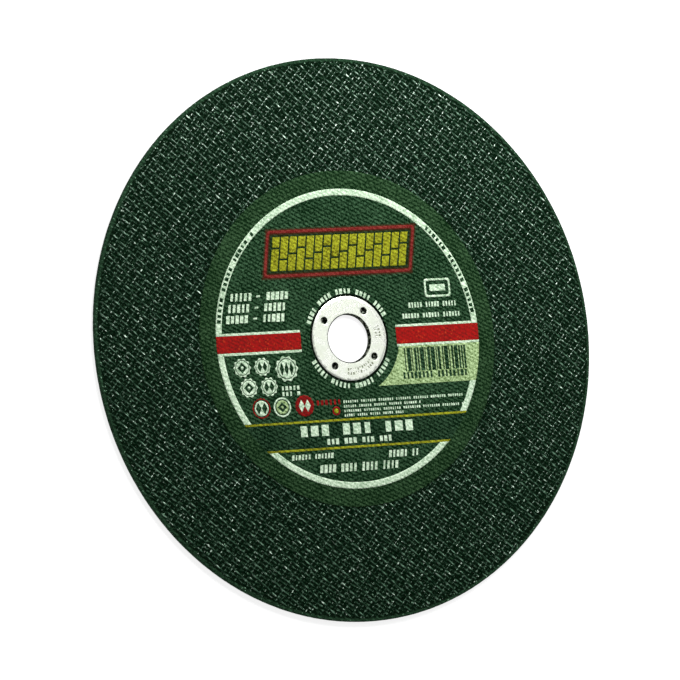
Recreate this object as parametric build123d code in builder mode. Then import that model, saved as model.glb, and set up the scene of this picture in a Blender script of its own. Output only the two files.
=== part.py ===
from build123d import *
from math import cos, radians, sin, sqrt
import os

# A pressed resin-bonded abrasive disc: dark green mix with a glass-fibre net in each face, a
# printed paper label on the front and a stamped steel ring in the bore.
# Millimetres. Z = 0 is the back face, the label looks up, and +Y is the label's own up.

# Driving dimensions
DISC_R = 150.0           # outer radius
DISC_T = 2.8             # thickness over the two nets
BORE_R = 12.7            # bore for a 25.4 mm spindle

NET_OUT_R = 148.2        # the nets stop just short of the rim
NET_IN_R = 23.0          # and at the recess for the steel flange
NET_OUT_CUTS = 72        # the nets are trimmed round in short straight cuts
NET_IN_CUTS = 24
YARN_T = 0.15            # thickness of one flattened yarn
WARP_PITCH = 5.2
WARP_W = 1.0
WARP_TURN = 45.0         # direction across the warp, from the label's X
WEFT_PITCH = 5.0
WEFT_W = 0.8
WEFT_TURN = 136.5

LABEL_R = 89.5
LABEL_HOLE_R = 23.3
LABEL_T = 0.1
INK_T = 0.03

SHEET = 0.3              # steel of the centre ring
FLANGE_R = 22.5
BEND = 0.5               # the rolled edge from flange to collar
COLLAR_END = 0.1         # the collar stops this far short of the back face
CLAW_COUNT = 4
CLAW_CIRCLE_R = 17.5
CLAW_START = 54.4
CLAW_HOLE_R = 1.6
CLAWS_A_HOLE = 4
CLAW_W = 2.0
CLAW_DEPTH = 0.9
CLAW_WALL = 0.25
CLAW_POCKET_R = 2.1      # the dent that the claws leave in the mix
CLAW_POCKET = 1.0

PRINT_R = 79.8           # outside of the white ring, and of all the print
RING_IN_R = 76.3
BAR_H = 9.1              # the two red bars level with the bore
BAR_LEFT_X = -29.4       # their inner ends
BAR_RIGHT_X = 28.75
BAR_EDGE = 1.3           # the white line above and below each bar
PANEL_W = 90.2           # the slanted red frame above the bore
PANEL_H = 25.0
PANEL_CENTRE = (-0.9, 46.4)
PANEL_LEAN = 10.5
PANEL_LINE = 2.2
BLOCK_COUNT = 10         # plain slanted blocks in the frame
BLOCK_W = 6.4
BLOCK_H = 18.0
BLOCK_PITCH = 8.2
UPPER_LINE_Y = -42.9     # the yellow lines round the lower band
LOWER_LINE_Y = -57.5
YELLOW_LINE = 1.2
FIELD_IN_R = 30.2        # the pale green field at lower right
FIELD_BOTTOM_Y = -26.2
STRIPES = (0.9, 0.9, 1.6, 0.8, 0.8, 2.2, 1.0, 1.6, 0.8, 1.6, 0.9, 0.9, 2.2)
STRIPE_START_X = 33.0
STRIPE_GAP = 1.7
STRIPE_TOP_Y = -8.0
STRIPE_BOTTOM_Y = -22.0
SMALL_BADGE_R = 5.1
LARGE_BADGE_R = 7.0
BADGE_SIDES = 10
SMALL_BADGES = ((-65.9, -12.5), (-53.9, -12.5), (-63.0, -23.2), (-50.9, -23.2), (-44.2, -34.3))
LARGE_BADGE = (-39.5, -14.3)
RED_BADGES = ((-56.6, -34.3), (-30.8, -34.3))

# Heights that follow
net_t = 2 * YARN_T
front_net_z = DISC_T - net_t
label_z = DISC_T
ink_z = label_z + LABEL_T
flange_z = ink_z - SHEET
collar_r = BORE_R + SHEET
bar_top = BAR_H / 2 + BAR_EDGE
upper_band_y = UPPER_LINE_Y + YELLOW_LINE / 2
lower_band_y = LOWER_LINE_Y - YELLOW_LINE / 2


# The mix: one turned form, with a shallow recess in each face for its net
with BuildPart() as abrasive_body:
    with BuildSketch(Plane.XZ):
        with BuildLine():
            Polyline(
                (collar_r, 0),
                (NET_IN_R, 0),
                (NET_IN_R, net_t),
                (NET_OUT_R, net_t),
                (NET_OUT_R, 0),
                (DISC_R, 0),
                (DISC_R, DISC_T),
                (NET_OUT_R, DISC_T),
                (NET_OUT_R, front_net_z),
                (NET_IN_R, front_net_z),
                (NET_IN_R, flange_z),
                (collar_r, flange_z),
                close=True,
            )
        make_face()
    revolve(axis=Axis.Z)
    with Locations((0, 0, flange_z)):
        with PolarLocations(CLAW_CIRCLE_R, CLAW_COUNT, start_angle=CLAW_START):
            Cylinder(
                CLAW_POCKET_R,
                CLAW_POCKET,
                align=(Align.CENTER, Align.CENTER, Align.MAX),
                mode=Mode.SUBTRACT,
            )
abrasive_body.part.label = "abrasive_body"


def net(weft_z, warp_z):
    """The yarns of one net: a layer of weft and a layer of warp resting face to face."""
    yarns = []
    for height, pitch, width, turn in (
        (weft_z, WEFT_PITCH, WEFT_W, WEFT_TURN),
        (warp_z, WARP_PITCH, WARP_W, WARP_TURN),
    ):
        across = (cos(radians(turn)), sin(radians(turn)), 0)
        count = 2 * int(NET_OUT_R / pitch) + 1
        with BuildPart() as layer:
            with BuildSketch(Plane(origin=(0, 0, height), x_dir=across, z_dir=(0, 0, 1))):
                with GridLocations(pitch, 0, count, 1):
                    Rectangle(width, 2 * NET_OUT_R)
                RegularPolygon(NET_OUT_R, NET_OUT_CUTS, mode=Mode.INTERSECT)
                RegularPolygon(NET_IN_R, NET_IN_CUTS, major_radius=False, mode=Mode.SUBTRACT)
            extrude(amount=YARN_T)
        yarns += layer.part.solids()
    return Compound(yarns)


# The two nets, each with its warp outside, and the back one as the front one seen in a mirror
front_net = net(front_net_z, front_net_z + YARN_T)
front_net.label = "front_net"
back_net = mirror(front_net, about=Plane.XY.offset(DISC_T / 2))
back_net.label = "back_net"


# The steel ring: flange, rolled edge and collar in one turned sheet, then its pierced claws
def claw_planes():
    """The plane of each claw's inner face: it stands on end, facing out from its hole."""
    planes = []
    for hole in PolarLocations(CLAW_CIRCLE_R, CLAW_COUNT, start_angle=CLAW_START):
        for claw in PolarLocations(CLAW_HOLE_R, CLAWS_A_HOLE):
            place = Pos(0, 0, flange_z) * hole * claw
            planes.append(Plane(place * Rot(0, 90, 0)))
    return planes


with BuildPart() as centre_ring:
    with BuildSketch(Plane.XZ):
        with BuildLine():
            Polyline(
                (BORE_R + BEND, ink_z),
                (FLANGE_R, ink_z),
                (FLANGE_R, flange_z),
                (collar_r, flange_z),
                (collar_r, COLLAR_END),
                (BORE_R, COLLAR_END),
                (BORE_R, ink_z - BEND),
                (BORE_R + BEND * (1 - sqrt(0.5)), ink_z - BEND * (1 - sqrt(0.5))),
                close=True,
            )
        make_face()
    revolve(axis=Axis.Z)
    with Locations((0, 0, ink_z)):
        with PolarLocations(CLAW_CIRCLE_R, CLAW_COUNT, start_angle=CLAW_START):
            Cylinder(
                CLAW_HOLE_R,
                SHEET,
                align=(Align.CENTER, Align.CENTER, Align.MAX),
                mode=Mode.SUBTRACT,
            )
    with BuildSketch(*claw_planes()):
        Polygon((0, -CLAW_W / 2), (CLAW_DEPTH, 0), (0, CLAW_W / 2), align=None)
    extrude(amount=CLAW_WALL)
centre_ring.part.label = "centre_ring"


# The label: a round of paper over the net, with a hole just clear of the steel flange
with BuildPart() as label:
    with BuildSketch(Plane.XY.offset(label_z)):
        Circle(LABEL_R)
        Circle(LABEL_HOLE_R, mode=Mode.SUBTRACT)
    extrude(amount=LABEL_T)
label.part.label = "label"


def strip(low, high, left=-PRINT_R, right=PRINT_R, mode=Mode.ADD):
    """A level strip of the print between two heights, from one X to another."""
    with Locations(((left + right) / 2, (low + high) / 2)):
        Rectangle(right - left, high - low, mode=mode)


def slanted(width, height):
    """A block that leans to the right as the panel does."""
    Trapezoid(width, height, 90 - PANEL_LEAN, 90 + PANEL_LEAN)


def badge(centre, radius):
    """A plain badge, round but for its straight edges."""
    with Locations(centre):
        RegularPolygon(radius, BADGE_SIDES)


# White ink: the ring, broken where other fields cross it, the lines along the bars, the badges
with BuildPart() as white_print:
    with BuildSketch(Plane.XY.offset(ink_z)):
        Circle(PRINT_R)
        Circle(RING_IN_R, mode=Mode.SUBTRACT)
        strip(-bar_top, bar_top, mode=Mode.SUBTRACT)
        strip(FIELD_BOTTOM_Y, 0, left=0, mode=Mode.SUBTRACT)
        strip(lower_band_y, upper_band_y, mode=Mode.SUBTRACT)
    extrude(amount=INK_T)
    with BuildSketch(Plane.XY.offset(ink_z)):
        Circle(PRINT_R)
        strip(-bar_top, bar_top, mode=Mode.INTERSECT)
        strip(-BAR_H / 2, BAR_H / 2, mode=Mode.SUBTRACT)
        strip(-bar_top, bar_top, BAR_LEFT_X, BAR_RIGHT_X, mode=Mode.SUBTRACT)
    extrude(amount=INK_T)
    with BuildSketch(Plane.XY.offset(ink_z)):
        for centre in SMALL_BADGES:
            badge(centre, SMALL_BADGE_R)
        badge(LARGE_BADGE, LARGE_BADGE_R)
    extrude(amount=INK_T)
white_print.part.label = "white_print"

# Red ink: the two bars, the slanted frame and two badges
with BuildPart() as red_print:
    with BuildSketch(Plane.XY.offset(ink_z)):
        Circle(PRINT_R)
        strip(-BAR_H / 2, BAR_H / 2, mode=Mode.INTERSECT)
        strip(-BAR_H / 2, BAR_H / 2, BAR_LEFT_X, BAR_RIGHT_X, mode=Mode.SUBTRACT)
    extrude(amount=INK_T)
    with BuildSketch(Plane.XY.offset(ink_z)) as frame:
        with Locations(PANEL_CENTRE):
            slanted(PANEL_W, PANEL_H)
        fillet(frame.vertices(), PANEL_LINE)
        offset(amount=-PANEL_LINE, mode=Mode.SUBTRACT)
    extrude(amount=INK_T)
    with BuildSketch(Plane.XY.offset(ink_z)):
        for centre in RED_BADGES:
            badge(centre, SMALL_BADGE_R)
    extrude(amount=INK_T)
red_print.part.label = "red_print"

# Yellow ink: plain slanted blocks in the frame, and the lines round the lower band
with BuildPart() as yellow_print:
    with BuildSketch(Plane.XY.offset(ink_z)):
        with Locations(PANEL_CENTRE):
            with GridLocations(BLOCK_PITCH, 0, BLOCK_COUNT, 1):
                slanted(BLOCK_W, BLOCK_H)
    extrude(amount=INK_T)
    with BuildSketch(Plane.XY.offset(ink_z)):
        Circle(PRINT_R)
        strip(lower_band_y, upper_band_y, mode=Mode.INTERSECT)
        strip(lower_band_y + YELLOW_LINE, upper_band_y - YELLOW_LINE, mode=Mode.SUBTRACT)
    extrude(amount=INK_T)
yellow_print.part.label = "yellow_print"

# Pale green ink: the field at lower right, with a row of plain stripes left open in it
with BuildPart() as pale_green_print:
    with BuildSketch(Plane.XY.offset(ink_z)):
        Circle(PRINT_R)
        strip(FIELD_BOTTOM_Y, -bar_top, left=0, mode=Mode.INTERSECT)
        Circle(FIELD_IN_R, mode=Mode.SUBTRACT)
        stripe_x = STRIPE_START_X
        for width in STRIPES:
            strip(STRIPE_BOTTOM_Y, STRIPE_TOP_Y, stripe_x, stripe_x + width, mode=Mode.SUBTRACT)
            stripe_x += width + STRIPE_GAP
    extrude(amount=INK_T)
pale_green_print.part.label = "pale_green_print"


os.makedirs("parts", exist_ok=True)
for piece in (
    abrasive_body.part,
    front_net,
    back_net,
    centre_ring.part,
    label.part,
    white_print.part,
    red_print.part,
    yellow_print.part,
    pale_green_print.part,
):
    export_step(piece, f"parts/{piece.label}.step")
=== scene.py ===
"""The looks of a pressed abrasive disc with a woven net in each face, a printed label and a steel ring.

Everything is in metres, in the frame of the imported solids: the back face lies at Z = 0, the label
looks up, and +Y is the label's own up.
"""

import math

import bmesh
import bpy
import numpy as np
from mathutils import Matrix, Vector, noise
from mathutils.geometry import delaunay_2d_cdt


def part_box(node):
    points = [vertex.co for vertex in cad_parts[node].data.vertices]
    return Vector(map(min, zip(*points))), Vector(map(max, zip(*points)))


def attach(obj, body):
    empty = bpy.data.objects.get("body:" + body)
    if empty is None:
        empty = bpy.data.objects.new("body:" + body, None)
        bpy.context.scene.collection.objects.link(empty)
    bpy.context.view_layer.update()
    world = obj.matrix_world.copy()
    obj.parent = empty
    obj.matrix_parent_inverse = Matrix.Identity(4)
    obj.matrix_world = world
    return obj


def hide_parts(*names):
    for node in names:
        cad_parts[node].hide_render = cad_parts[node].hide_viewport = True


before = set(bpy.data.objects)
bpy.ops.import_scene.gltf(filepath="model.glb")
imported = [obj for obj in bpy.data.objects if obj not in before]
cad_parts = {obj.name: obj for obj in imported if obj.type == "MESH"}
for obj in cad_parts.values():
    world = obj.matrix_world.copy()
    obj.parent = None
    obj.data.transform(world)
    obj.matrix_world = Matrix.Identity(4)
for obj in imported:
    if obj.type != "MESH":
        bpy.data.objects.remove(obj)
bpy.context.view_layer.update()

# Sizes that the frame gives
MM = 0.001
DISC_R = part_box("abrasive_body")[1].x
DISC_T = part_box("abrasive_body")[1].z
LABEL_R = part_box("label")[1].x
LABEL_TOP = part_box("label")[1].z
INK_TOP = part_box("white_print")[1].z
FLANGE_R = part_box("centre_ring")[1].x
FLANGE_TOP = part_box("centre_ring")[1].z
COLLAR_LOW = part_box("centre_ring")[0].z

# The two nets. The front one also has thinner yarns, which lie deeper between its main ones
NET_OUT_R = DISC_R - 1.8 * MM
NET_IN_R = 23.0 * MM
YARN_T = 0.15 * MM
YARN_SIDES = 5
WEAVE = 0.025 * MM
YARN_STEP = 2.3 * MM
YARN_WANDER = 0.35 * MM
WARP_PITCH = 5.2 * MM
WARP_W = 1.05 * MM
WARP_TURN = math.radians(45.0)
WEFT_PITCH = 5.0 * MM
WEFT_W = 0.85 * MM
WEFT_TURN = math.radians(136.5)
WARP_MATE = 0.58                         # where the thin yarns lie, as a share of the pitch
WEFT_MATE = 0.54
MATE_WIDTH = 0.7                         # how wide they are, as a share of a main yarn
NET_MIDDLE = YARN_T / 2 + WEAVE          # from the disc's face to the middle of the weave

# The mix between the yarns
MIX_SINK = 0.085 * MM                    # how far its surface lies under the yarns' crests
MIX_EDGE_R = DISC_R - 0.7 * MM
MIX_GRIT = 0.035 * MM
GRAIN_R = 0.2 * MM
SHEET = 0.3 * MM                         # the steel ring's wall
RECESS_Z = FLANGE_TOP - SHEET
COLLAR_R = 13.0 * MM
BORE_R = 12.7 * MM
POCKET_DEPTH = 1.0 * MM
STEP_RUN = 0.1 * MM                      # how far a step in the mix spreads sideways
# The rim's profile, in millimetres: how far it is pulled in, and at what height
RIM_PROFILE = ((0.22, 2.64), (0.04, 2.4), (0.0, 1.9), (0.0, 0.9), (0.04, 0.4), (0.22, 0.16))

# How many straight edges stand for a round one
RIM_CUTS = 720
LABEL_CUTS = 420
PRINT_CUTS = 400
RING_IN_CUTS = 380
FIELD_CUTS = 150
FLANGE_CUTS = 144
BORE_CUTS = 96
FLOOR_CUTS = 64
BADGE_CUTS = 40
HOLE_CUTS = 32
POCKET_CUTS = 24
DOT_CUTS = 24

# The steel ring
BEND = 0.5 * MM
EDGE_ROUND = 0.08 * MM
HOLE_CIRCLE_R = 17.5 * MM
HOLE_R = 1.6 * MM
HOLE_ROLL = 0.35 * MM
CLAW_DEPTH = 0.9 * MM
CLAW_FLARE = 0.12 * MM                   # how far a claw's tip leans outwards
TORN_LIP = 0.1 * MM                      # how far the torn edge reaches below the roll between claws
POCKET_R = 2.1 * MM
HOLE_TURNS = [math.radians(54.4 + 90 * k) for k in range(4)]
HOLES = [Vector((math.cos(a), math.sin(a))) * HOLE_CIRCLE_R for a in HOLE_TURNS]

# The press cloth's mark: two sets of threads, and the twill that they make
THREADS = ((2.93 * MM, math.radians(104.8)), (2.89 * MM, math.radians(19.8)))
THREAD_WAVES = [
    (2 * math.pi / pitch * math.cos(turn), 2 * math.pi / pitch * math.sin(turn))
    for pitch, turn in THREADS
]
TWILL_WAVE = (
    THREAD_WAVES[0][0] + THREAD_WAVES[1][0],
    THREAD_WAVES[0][1] + THREAD_WAVES[1][1],
)
CLOTH_WAVES = [(*TWILL_WAVE, 0.56), (*THREAD_WAVES[0], 0.22), (*THREAD_WAVES[1], 0.22)]
TWILL_TURN = math.atan2(TWILL_WAVE[1], TWILL_WAVE[0])
CLOTH_DEPTH = 0.035 * MM
RIDGE_STEP = 0.49 * MM                   # mesh step across the twill's ridges
RIDGE_RUN = 1.5 * MM                     # and along them

# The print
LABEL_HOLE_R = 23.3 * MM
LABEL_SINK = 0.1 * MM                    # the label's underside is pressed this far into the net
LABEL_LAP = 1.5 * MM                     # how far the thin yarns and the fine mesh run in under it
INK_SINK = 0.05 * MM
PRINT_R = 79.8 * MM
RING_IN_R = 76.3 * MM
BAR_H = 9.1 * MM
BAR_LEFT_X = -29.4 * MM
BAR_RIGHT_X = 28.75 * MM
BAR_EDGE = 1.3 * MM
BAR_TOP = BAR_H / 2 + BAR_EDGE
PANEL_W = 90.2 * MM
PANEL_H = 25.0 * MM
PANEL_CENTRE = (-0.9 * MM, 46.4 * MM)
PANEL_LEAN = math.radians(10.5)
PANEL_LINE = 1.6 * MM
PANEL_CORNER = 2.6 * MM
BLOCK_COUNT = 16
BLOCK_H = 18.0 * MM
BLOCK_W = 4.3 * MM
BLOCK_PITCH = 5.2 * MM
BLOCK_CUT = 1.0 * MM
BLOCK_SHARES = (2 / 3, 1 / 3, 1 / 2)     # how far up each block is cut, in turn
YELLOW_LINE = 1.2 * MM
BAND_TOP = -42.3 * MM
BAND_LOW = -58.1 * MM
FIELD_IN_R = 30.2 * MM
FIELD_LOW = -26.2 * MM
STRIPES = (                              # each stripe's width and the gap after it, in millimetres
    (0.7, 0.9), (2.3, 0.5), (0.6, 1.1), (1.4, 0.5), (1.0, 0.6), (2.6, 0.5),
    (0.6, 0.9), (1.7, 0.5), (2.5, 0.6), (0.7, 0.5), (1.5, 1.2), (0.8, 0.5),
    (2.4, 0.5), (0.6, 1.0), (1.2, 0.5), (2.2, 0.5), (1.2, 0.5), (1.0, 0.5), (1.2, 0.0),
)
STRIPE_START = 32.6 * MM
STRIPE_TOP = -6.9 * MM
STRIPE_LOW = -19.4 * MM
BADGE_LINE = (0.79, 0.73)                # a white badge's inner line, as shares of its radius
BADGE_CORE = 0.64                        # and the round that its diamonds lie in
BADGES = (                               # each white badge: its middle, its radius and its diamonds
    ((-65.9 * MM, -12.5 * MM), 5.2 * MM, 1),
    ((-53.9 * MM, -12.5 * MM), 5.0 * MM, 2),
    ((-39.5 * MM, -14.25 * MM), 7.0 * MM, 3),
    ((-63.0 * MM, -23.2 * MM), 5.3 * MM, 1),
    ((-50.9 * MM, -23.2 * MM), 5.2 * MM, 2),
)
RED_RING = (-56.6 * MM, -34.3 * MM)
WHITE_RING = (-44.2 * MM, -34.3 * MM)
RED_DISC = (-30.8 * MM, -34.3 * MM)
SMALL_DISC = (-12.0 * MM, -38.0 * MM)
RED_DISC_CORE = 3.9 * MM                 # the round that its two open diamonds lie in
PLAQUE = (56.9 * MM, 24.6 * MM)
PLAQUE_W = 16.0 * MM
PLAQUE_H = 10.0 * MM
# The plaque's outlines: how far each lies in from its edge, and how round its corners are
PLAQUE_LINES = ((0.0, 1.5 * MM), (1.1 * MM, 1.5 * MM), (3.2 * MM, 0.3 * MM))
DASHES = ((-52.4 * MM, 24.6 * MM), (-54.0 * MM, 18.7 * MM), (-55.4 * MM, 13.0 * MM))
DASH_W = 2.2 * MM
DASH_H = 1.0 * MM
ROW_T = 0.08 * MM
MARK_WIDTHS = (0.55, 1.1)                # least and most, as a share of a mark's room in its row
MARK_HEIGHTS = (0.86, 1.0)               # least and most, as a share of the row's height
# Level rows of plain blocks, in millimetres: ink, left, right, middle, height, blocks, word, gap, lean
LEVEL_ROWS = (
    ("white", -69.5, -34.1, 24.6, 4.4, 13, 5, 3, 0.15),
    ("white", -71.4, -36.3, 18.7, 4.4, 13, 5, 3, 0.15),
    ("white", -73.0, -37.5, 13.0, 4.4, 13, 5, 3, 0.15),
    ("white", 37.8, 69.6, 15.9, 2.9, 18, 5, 1, 0.0),
    ("white", 33.4, 69.6, 10.2, 2.7, 20, 6, 1, 0.0),
    ("white", -7.5, 67.7, -33.4, 1.4, 56, 7, 1, 0.0),
    ("white", -7.5, 40.0, -35.9, 1.4, 36, 6, 1, 0.0),
    ("white", -7.5, 67.7, -38.3, 1.4, 56, 8, 1, 0.0),
    ("white", -7.5, 29.0, -40.6, 1.4, 28, 5, 1, 0.0),
    ("white", -35.8, 34.6, -47.8, 6.0, 11, 3, 1, 0.0),
    ("white", -19.8, 20.3, -54.0, 3.2, 15, 3, 1, 0.0),
    ("white", -41.6, -14.1, -61.2, 2.8, 14, 6, 1, 0.15),
    ("white", 17.1, 35.9, -62.4, 3.8, 8, 5, 1, 0.15),
    ("white", -25.4, 22.8, -68.1, 4.6, 19, 4, 1, 0.15),
    ("white", -44.0, -32.5, -24.4, 2.3, 5, 5, 1, 0.0),
    ("white", -44.0, -32.5, -27.4, 2.3, 5, 3, 1, 0.0),
    ("red", -24.0, -8.5, -33.2, 3.0, 6, 6, 1, 0.0),
    ("dark", 30.3, 70.8, -21.5, 3.9, 17, 8, 1, 0.0),
)
# Rows round the middle: ink, radius, first and last bearing, height, blocks, word, gap. The lengths
# are in millimetres and the bearings in degrees.
HUB_ROW_R = 25.3
EDGE_ROW_R = (PRINT_R + RING_IN_R) / 2 / MM
ROUND_ROWS = (
    ("white", HUB_ROW_R, 160.6, 20.0, 2.9, 25, 4, 1),
    ("white", HUB_ROW_R, 333.0, 199.0, 2.9, 24, 5, 1),
    ("dark", EDGE_ROW_R, 47.5, 7.5, 2.3, 19, 6, 1),
    ("dark", EDGE_ROW_R, 172.0, 131.5, 2.3, 19, 5, 1),
)

# The camera, where the photograph was taken from, and the floor
CAMERA_PLACE = Vector((-1.26272, -0.18046, 2.20683))
CAMERA_AIM = Vector((-0.005694, -0.000631, DISC_T))
CAMERA_ROLL = math.radians(5.496)
CAMERA_LENS = 254.93
SENSOR_W = 36.0
FLOOR_Z = -0.2 * MM
FLOOR_IN_R = 0.6
FLOOR_REACH = 6.0
FLOOR_BEND = 1.5
FLOOR_TOP = 3.0


class Sock:
    """A node's output socket that takes part in Python arithmetic: each operation adds a Math node."""

    def __init__(self, board, socket):
        self.board = board
        self.socket = socket

    def math(self, operation, *others, clamp=False):
        settings = {"operation": operation, "use_clamp": clamp}
        return self.board.node("ShaderNodeMath", settings, dict(enumerate((self, *others))))

    def __add__(self, other):
        return self.math("ADD", other)

    def __sub__(self, other):
        return self.math("SUBTRACT", other)

    def __mul__(self, other):
        return self.math("MULTIPLY", other)

    def __truediv__(self, other):
        return self.math("DIVIDE", other)

    def __rsub__(self, other):
        return self * -1.0 + other

    def __rtruediv__(self, other):
        return self.math("POWER", -1.0) * other

    def __pow__(self, other):
        return self.math("POWER", other)

    __radd__ = __add__
    __rmul__ = __mul__

    def above(self, level, softness=0.0):
        """0 below a level and 1 above it, or a soft step of that width centred on it."""
        if not softness:
            return self.math("GREATER_THAN", level)
        return ((self - level) / softness + 0.5).math("ADD", 0.0, clamp=True)


class Board:
    """A node tree, with one method that adds any node to it."""

    def __init__(self, tree):
        self.tree = tree

    def node(self, kind, settings, inputs, out=0):
        made = self.tree.nodes.new(kind)
        for setting, value in settings.items():
            setattr(made, setting, value)
        for socket, value in inputs.items():
            self.feed(made.inputs[socket], value)
        if isinstance(out, tuple):
            return [Sock(self, made.outputs[one]) for one in out]
        return Sock(self, made.outputs[out])

    def feed(self, socket, value):
        if isinstance(value, Sock):
            self.tree.links.new(value.socket, socket)
        else:
            socket.default_value = value

    def axes(self, vector):
        return self.node("ShaderNodeSeparateXYZ", {}, {0: vector}, out=(0, 1, 2))

    def point(self, x=0.0, y=0.0, z=0.0):
        return self.node("ShaderNodeCombineXYZ", {}, {0: x, 1: y, 2: z})


def from_middle(x, y):
    """How far a place is from the middle that x and y, two sockets, are measured from."""
    return (x * x + y * y) ** 0.5


def paint(red, green, blue):
    """A colour as it looks on a screen, each part from 0 to 255, in a shader's linear values."""
    parts = [part / 255 for part in (red, green, blue)]
    return (*[p / 12.92 if p < 0.04 else ((p + 0.055) / 1.055) ** 2.4 for p in parts], 1.0)


class Finish(Board):
    """One material: a single shader, and the few words that the finishes are written in."""

    def __init__(self, name, **constants):
        self.material = bpy.data.materials.new(name)
        self.material.use_nodes = True
        super().__init__(self.material.node_tree)
        self.tree.nodes.clear()
        self.surface = self.tree.nodes.new("ShaderNodeBsdfPrincipled")
        output = self.tree.nodes.new("ShaderNodeOutputMaterial")
        self.tree.links.new(self.surface.outputs[0], output.inputs[0])
        for socket, value in constants.items():
            self.surface.inputs[socket.replace("_", " ")].default_value = value
        self.place = self.node("ShaderNodeTexCoord", {}, {}, out="Object")
        self.x, self.y, self.z = self.axes(self.place)

    def colour(self, value):
        self.feed(self.surface.inputs["Base Color"], value)

    def roughness(self, value):
        self.feed(self.surface.inputs["Roughness"], value)

    def mix(self, share, low, high):
        """From one colour to another as share goes from 0 to 1."""
        settings = {"data_type": "RGBA", "clamp_factor": True}
        return self.node("ShaderNodeMix", settings, {0: share, 6: low, 7: high}, out=2)

    def grain(self, size, detail=2.0, vector=None):
        """Soft noise about 0.5, with patches of the given size."""
        inputs = {"Vector": vector or self.place, "Scale": 1 / size, "Detail": detail}
        return self.node("ShaderNodeTexNoise", {}, inputs)

    def specks(self, size):
        """A random value from 0 to 1 for each small cell of the given size."""
        inputs = {"Vector": self.place, "Scale": 1 / size}
        cell = self.node("ShaderNodeTexVoronoi", {}, inputs, out="Color")
        return self.axes(cell)[0]

    def own(self, name, out="Fac"):
        """A value that the piece's mesh carries."""
        return self.node("ShaderNodeAttribute", {"attribute_name": name}, {}, out=out)

    def cloth(self):
        """The press cloth's mark: 1 on its ridges and 0 in its hollows."""
        height = 0.5
        for kx, ky, share in CLOTH_WAVES:
            height = (self.x * kx + self.y * ky).math("COSINE") * (share / 2) + height
        return height

    def along_ridges(self, across, along):
        """A place for noise whose patches are stretched along the twill's ridges."""
        c, s = math.cos(TWILL_TURN), math.sin(TWILL_TURN)
        return self.point((self.x * c + self.y * s) / across, (self.y * c - self.x * s) / along)

    def bump(self, height, depth):
        inputs = {"Strength": 1.0, "Distance": depth, "Height": height}
        self.feed(self.surface.inputs["Normal"], self.node("ShaderNodeBump", {}, inputs))


# The finishes
def abrasive_mix():
    """Dark green resin and grain, near black in its pores, with a few grains that catch the light, and
    painted shade near black in the flange's recess and its pockets.
    """
    f = Finish("abrasive_mix", Specular_IOR_Level=0.05, Roughness=0.95)
    cloth = f.cloth()
    pores = f.grain(0.9 * MM, 2.0)
    luck = f.grain(1.0, 1.0, f.along_ridges(1.1 * MM, 2.2 * MM)).above(0.52, 0.24)
    radius = from_middle(f.x, f.y)
    worn_rim = radius.above(NET_OUT_R, MM)
    spots = cloth ** 2.2 * luck * 0.95 + pores * 1.3 + worn_rim * 0.5 - 0.78
    body = f.mix(spots, paint(0, 12, 2), paint(42, 70, 49))
    grains = f.specks(0.6 * MM).above(0.975) * luck
    gritty = f.mix(grains, body, paint(104, 136, 112))
    # Painted shade: inside the flange's recess the mix is near black, with a few paler chips in the
    # pockets
    recess = (1 - radius.above(NET_IN_R)) * f.z.above(DISC_T / 2)
    chips = f.specks(0.7 * MM).above(0.7) * (1 - radius.above(20 * MM))
    f.colour(f.mix(recess, gritty, f.mix(chips, paint(1, 5, 2), paint(104, 110, 100))))
    f.bump(pores + cloth * 0.5 + f.specks(0.6 * MM) * 0.4, 0.12 * MM)
    return f.material


def glass_yarn():
    """Resin-soaked glass yarn: pale and shiny where the press cloth bares it, dark under the mix."""
    f = Finish("glass_yarn", Specular_IOR_Level=0.0, Coat_Roughness=0.28, Coat_IOR=2.2)
    strength = f.own("strength")
    x, y, z = f.axes(f.own("yarn_place", out="Vector"))
    fibres = f.grain(1 * MM, 2.0, f.point(x * 5.0, y * 0.4, z * 5.0))
    cloth = f.cloth()
    luck = f.grain(1 * MM, 1.0, f.point(x * 0.65, y * 0.24, z)).above(0.5, 0.3)
    bare = (cloth ** 1.6 * (luck * 0.8 + 0.1) + 0.04) * strength
    body = f.mix(bare * 1.2 + fibres * 0.2 - 0.15, paint(0, 17, 5), paint(84, 126, 98))
    # Painted highlights: the glints are near-white base colour on some bare crests, besides a stronger
    # coat there
    glints = f.grain(1 * MM, 1.0, f.point(x * 0.9, y * 0.3, z + 7 * MM)).above(0.68, 0.08)
    glints = glints * strength * cloth.above(0.45, 0.3)
    f.colour(f.mix(glints, body, paint(208, 232, 212)))
    f.feed(f.surface.inputs["Coat Weight"], (bare * bare * 3.0 + glints).math("ADD", 0.0, clamp=True))
    f.roughness(0.95 - bare * 0.3)
    f.bump(fibres, 0.04 * MM)
    return f.material


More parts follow.
